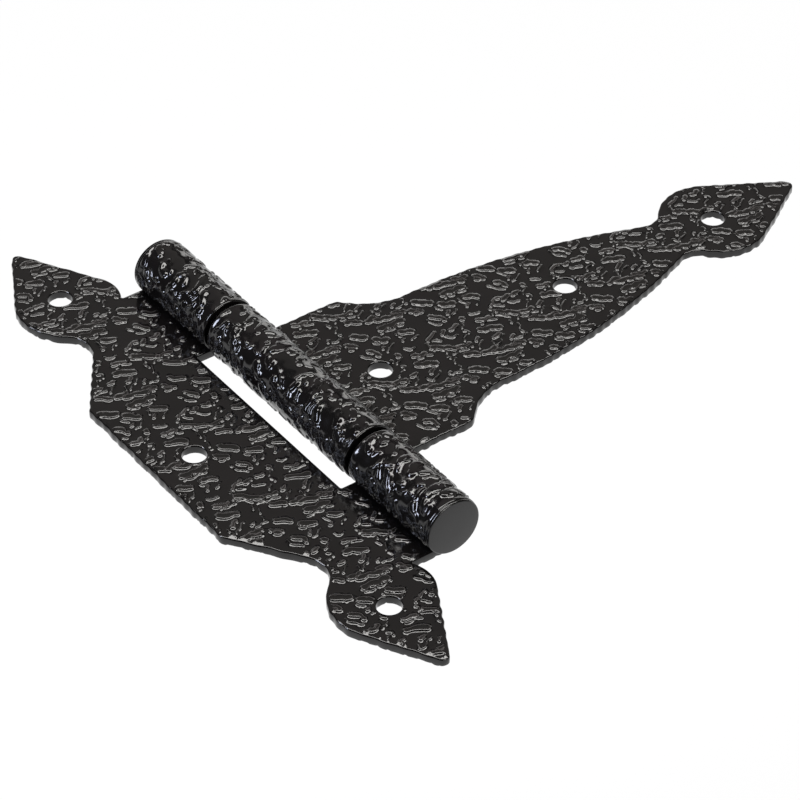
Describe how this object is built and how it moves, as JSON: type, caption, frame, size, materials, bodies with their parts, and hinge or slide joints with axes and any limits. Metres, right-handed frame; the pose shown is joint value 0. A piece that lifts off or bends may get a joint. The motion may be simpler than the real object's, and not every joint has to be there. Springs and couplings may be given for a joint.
{
  "type": "tee hinge",
  "caption": "Tee hinge with a wide fixed leaf and a long tapered strap on a rolled barrel, pointed finials at the ends, screw holes, and a hammered black coating.",
  "frame": {"origin": "on the back plane, under the pin's axis, half way along the barrel", "axes": "+X along the pin, +Y from the pin to the tip of the strap, +Z out of the front of both leaves"},
  "size_m": [0.2414, 0.2581, 0.0192],
  "materials": {
    "leaf_coating": "semi-gloss black powder coat over rolled hammered steel sheet",
    "pin_coating": "semi-gloss black powder coat over plain steel",
    "cap_coating": "smooth satin black powder coat"
  },
  "bodies": {
    "fixed": {"fixed_leaf": "leaf_coating", "hinge_pin": "pin_coating", "end_cap_near": "cap_coating", "end_cap_far": "cap_coating"},
    "strap": {"strap_leaf": "leaf_coating"}
  },
  "joints": [
    {"name": "strap_swing", "type": "hinge", "parent": "fixed", "child": "strap", "pos_m": [0, 0, 0.00961], "axis": [1, 0, 0], "range_deg": [-100, 190]}
  ]
}
